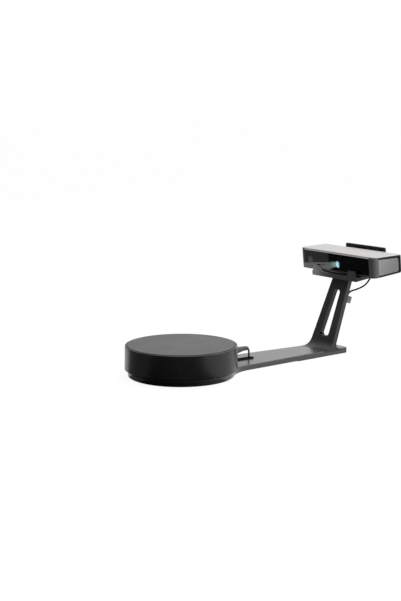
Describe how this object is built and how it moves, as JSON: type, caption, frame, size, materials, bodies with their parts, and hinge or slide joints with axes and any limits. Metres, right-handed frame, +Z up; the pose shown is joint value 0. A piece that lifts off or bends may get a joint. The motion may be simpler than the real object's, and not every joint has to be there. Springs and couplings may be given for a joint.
{
  "type": "desktop 3d scanner",
  "caption": "Desktop 3d scanner: wide camera head on a leaning slotted upright, over a flat tapering arm that ends in a motor-driven round turntable.",
  "frame": {"origin": "on the desk, on the turntable's axis (plane of the rubber feet)", "axes": "+X along the arm from the turntable to the scanning head, +Z up, +Y to the left when looking from the turntable to the head"},
  "size_m": [0.6026, 0.218, 0.2095],
  "materials": {
    "arm_silver": "satin silver-grey moulded plastic",
    "drum_black": "satin black, finely textured",
    "upright_black": "powder-coated black",
    "head_silver": "light satin silver-grey lacquer",
    "head_grey": "dark grey moulded plastic",
    "panel_grey": "mid-grey, finely textured",
    "bezel_black": "dark grey satin plastic",
    "window_black": "black, glossy, see-through to the sensors",
    "lens_glass": "coated glass",
    "mat_grey": "mid-grey fine-grained rubber",
    "rubber": "matt black rubber",
    "black_plastic": "matt black plastic",
    "button_grey": "glossy grey",
    "cable_black": "smooth black cable jacket",
    "gear_plastic": "natural acetal",
    "bearing_steel": "ground steel",
    "screw_steel": "zinc-plated steel",
    "motor_metal": "black lacquered laminations",
    "aluminium": "plain aluminium",
    "board_green": "solder-masked circuit board",
    "brass": "plain brass"
  },
  "bodies": {
    "root": {"base_plate": "arm_silver", "arm_bottom_cover": "black_plastic", "cover_screws": "screw_steel", "ring_foot": "rubber", "arm_foot_pad": "rubber", "foot_screws": "screw_steel", "upright": "upright_black", "cable_guide": "black_plastic", "head_cradle": "upright_black", "cradle_pads": "rubber", "cradle_screws": "screw_steel", "head_shell": "head_grey", "top_cover": "head_silver", "side_panel_left": "panel_grey", "side_panel_right": "panel_grey", "front_bezel": "bezel_black", "front_window": "window_black", "optical_bench": "aluminium", "camera_left": "aluminium", "camera_right": "aluminium", "camera_lenses": "lens_glass", "projector_barrel": "black_plastic", "projector_lens": "lens_glass", "light_engine": "aluminium", "heat_sink": "aluminium", "fan_frame": "black_plastic", "main_board": "board_green", "power_socket": "black_plastic", "usb_socket": "screw_steel", "link_socket": "black_plastic", "button_switch": "black_plastic", "status_light": "lens_glass", "mounting_nut": "brass", "head_screws": "screw_steel", "turntable_housing": "drum_black", "turntable_floor": "black_plastic", "turntable_feet": "rubber", "turntable_screws": "screw_steel", "bearing_outer": "bearing_steel", "motor": "motor_metal", "motor_bracket": "aluminium", "driver_board": "board_green", "turntable_socket": "black_plastic", "turntable_plug": "cable_black", "head_plug": "cable_black", "link_cable": "cable_black"},
    "thumb_screw": {"thumb_screw": "black_plastic"},
    "fan_rotor": {"fan_rotor": "black_plastic"},
    "power_button": {"power_button": "button_grey"},
    "platter": {"bearing_inner": "bearing_steel", "platter": "drum_black", "grip_mat": "mat_grey", "platter_hub": "aluminium", "hub_clip": "bearing_steel", "drive_gear": "gear_plastic", "hub_screws": "screw_steel"},
    "ball_set": {"bearing_balls": "bearing_steel", "ball_cage": "brass"},
    "pinion": {"pinion": "gear_plastic", "motor_shaft": "screw_steel"}
  },
  "joints": [
    {"name": "turntable_spin", "type": "hinge", "parent": "root", "child": "platter", "pos_m": [0, 0, 0.0267], "axis": [0, 0, 1], "continuous": true},
    {"name": "pinion_spin", "type": "hinge", "parent": "root", "child": "pinion", "pos_m": [-0.0555, 0, 0.047], "axis": [0, 0, 1], "continuous": true},
    {"name": "ball_set_spin", "type": "hinge", "parent": "root", "child": "ball_set", "pos_m": [0, 0, 0.0267], "axis": [0, 0, 1], "continuous": true},
    {"name": "fan_spin", "type": "hinge", "parent": "root", "child": "fan_rotor", "pos_m": [0.44273, 0.076, 0.18372], "axis": [0.9946, 0, 0.1033], "continuous": true},
    {"name": "power_button_press", "type": "slide", "parent": "root", "child": "power_button", "axis": [-0.9946, 0, -0.1033], "range_m": [0, 0.0012], "stiffness_N_per_m": 800},
    {"name": "thumb_screw_turn", "type": "hinge", "parent": "root", "child": "thumb_screw", "pos_m": [0.41809, 0, 0.14989], "axis": [-0.1033, 0, 0.9946], "range_deg": [0, 360]}
  ],
  "couplings": [
    {"joint": "pinion_spin", "follows": "turntable_spin", "ratio": -4.2857},
    {"joint": "ball_set_spin", "follows": "turntable_spin", "ratio": 0.39677}
  ]
}
